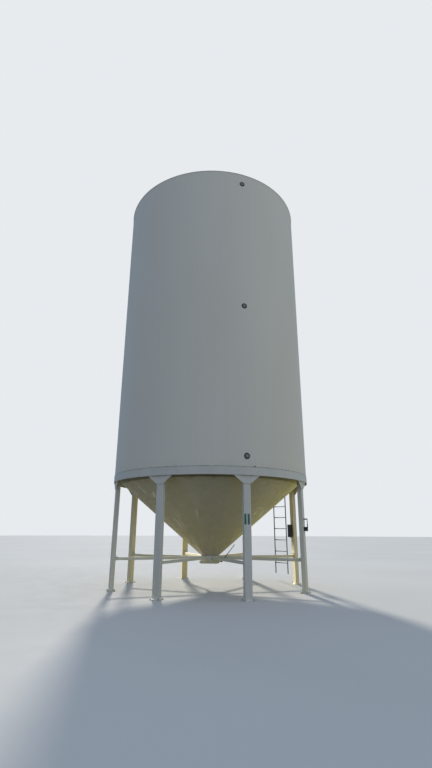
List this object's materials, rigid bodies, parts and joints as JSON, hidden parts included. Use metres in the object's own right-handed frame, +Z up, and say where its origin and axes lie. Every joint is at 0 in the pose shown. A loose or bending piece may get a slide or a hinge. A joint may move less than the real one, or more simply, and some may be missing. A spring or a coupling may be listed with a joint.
{
  "type": "grain silo",
  "caption": "Smooth-wall hopper-bottom grain silo: steel cylinder with conical roof and hopper on braced legs, with a slide gate, sight glasses and a wall ladder.",
  "frame": {"origin": "on the silo's axis at ground level, under the foot plates", "axes": "+Z up along the silo's axis; -Y is the front, halfway between two legs; +X is to the right seen from the front; the ladder is at the back right, 134 degrees round from the front"},
  "size_m": [4.896, 4.896, 11.7228],
  "materials": {
    "cream_paint": "semi-gloss powder coat",
    "galvanised": "dull zinc",
    "dark_fitting": "matt black"
  },
  "bodies": {
    "root": {"band_ring": "cream_paint", "gate_blade": "galvanised", "gate_crank": "galvanised", "gate_frame": "cream_paint", "hatch_drum": "cream_paint", "hatch_lid": "cream_paint", "hopper_panel_1": "cream_paint", "hopper_panel_2": "cream_paint", "hopper_panel_3": "cream_paint", "hopper_panel_4": "cream_paint", "ladder": "galvanised", "ladder_bracket_1": "galvanised", "ladder_bracket_2": "galvanised", "ladder_bracket_3": "galvanised", "ladder_bracket_4": "galvanised", "leg_1": "cream_paint", "leg_2": "cream_paint", "leg_3": "cream_paint", "leg_4": "cream_paint", "leg_5": "cream_paint", "leg_6": "cream_paint", "leg_7": "cream_paint", "leg_8": "cream_paint", "leg_box": "dark_fitting", "leg_winch": "dark_fitting", "outlet_collar": "cream_paint", "roof_cone": "cream_paint", "roof_lid": "cream_paint", "roof_neck": "cream_paint", "sight_glass_1": "dark_fitting", "sight_glass_2": "dark_fitting", "sight_glass_3": "dark_fitting", "spoke_1": "cream_paint", "spoke_2": "cream_paint", "spoke_3": "cream_paint", "spoke_4": "cream_paint", "spoke_5": "cream_paint", "spoke_6": "cream_paint", "spoke_7": "cream_paint", "spoke_8": "cream_paint", "wall_panel_1": "cream_paint", "wall_panel_2": "cream_paint", "wall_panel_3": "cream_paint", "wall_panel_4": "cream_paint"}
  },
  "joints": []
}
